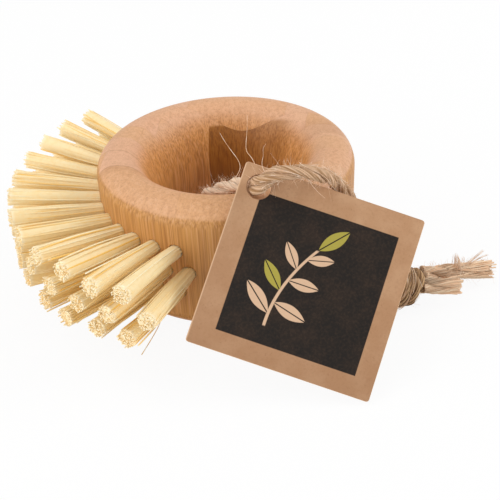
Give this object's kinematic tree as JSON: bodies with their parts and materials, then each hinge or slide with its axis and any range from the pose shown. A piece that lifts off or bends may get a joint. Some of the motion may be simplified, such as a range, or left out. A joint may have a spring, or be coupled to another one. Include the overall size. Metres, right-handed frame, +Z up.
{
  "type": "scrub brush",
  "caption": "Ring-shaped scrub brush: turned bamboo ring held with the fingers through it, rows of stiff plant-fibre tufts on one side, knotted jute hang cord and a card tag.",
  "frame": {"origin": "on the surface that the brush lies on, under the middle of the box round the ring and its tufts", "axes": "+Z up along the ring's axis, the middle tuft points along -X, +Y across the fan of tufts, away from the tag"},
  "size_m": [0.1377, 0.1341, 0.053],
  "materials": {
    "bamboo": "turned and sanded laminated bamboo, unvarnished, matte",
    "plant_fibre": "dry stiff cream plant fibre",
    "jute": "twisted jute cord, slightly hairy",
    "kraft_card": "brown kraft card with a dark printed square"
  },
  "bodies": {
    "brush": {"ring_handle": "bamboo", "tuft_upper_01": "plant_fibre", "tuft_upper_02": "plant_fibre", "tuft_upper_03": "plant_fibre", "tuft_upper_04": "plant_fibre", "tuft_upper_05": "plant_fibre", "tuft_upper_06": "plant_fibre", "tuft_upper_07": "plant_fibre", "tuft_upper_08": "plant_fibre", "tuft_upper_09": "plant_fibre", "tuft_upper_10": "plant_fibre", "tuft_upper_11": "plant_fibre", "tuft_upper_12": "plant_fibre", "tuft_middle_01": "plant_fibre", "tuft_middle_02": "plant_fibre", "tuft_middle_03": "plant_fibre", "tuft_middle_04": "plant_fibre", "tuft_middle_05": "plant_fibre", "tuft_middle_06": "plant_fibre", "tuft_middle_07": "plant_fibre", "tuft_middle_08": "plant_fibre", "tuft_middle_09": "plant_fibre", "tuft_middle_10": "plant_fibre", "tuft_middle_11": "plant_fibre", "tuft_middle_12": "plant_fibre", "tuft_middle_13": "plant_fibre", "tuft_lower_01": "plant_fibre", "tuft_lower_02": "plant_fibre", "tuft_lower_03": "plant_fibre", "tuft_lower_04": "plant_fibre", "tuft_lower_05": "plant_fibre", "tuft_lower_06": "plant_fibre", "tuft_lower_07": "plant_fibre", "tuft_lower_08": "plant_fibre", "tuft_lower_09": "plant_fibre", "tuft_lower_10": "plant_fibre", "tuft_lower_11": "plant_fibre", "tuft_lower_12": "plant_fibre", "cord_inner": "jute", "cord_outer": "jute", "knot": "jute", "tail_long": "jute", "tail_short": "jute"},
    "tag_swinging": {"tag": "kraft_card"}
  },
  "joints": [
    {"name": "tag_swing", "type": "hinge", "parent": "brush", "child": "tag_swinging", "pos_m": [0.01492, -0.03609, 0.0448], "axis": [-0.9863, 0.165, 0], "range_deg": [0, 22]}
  ]
}
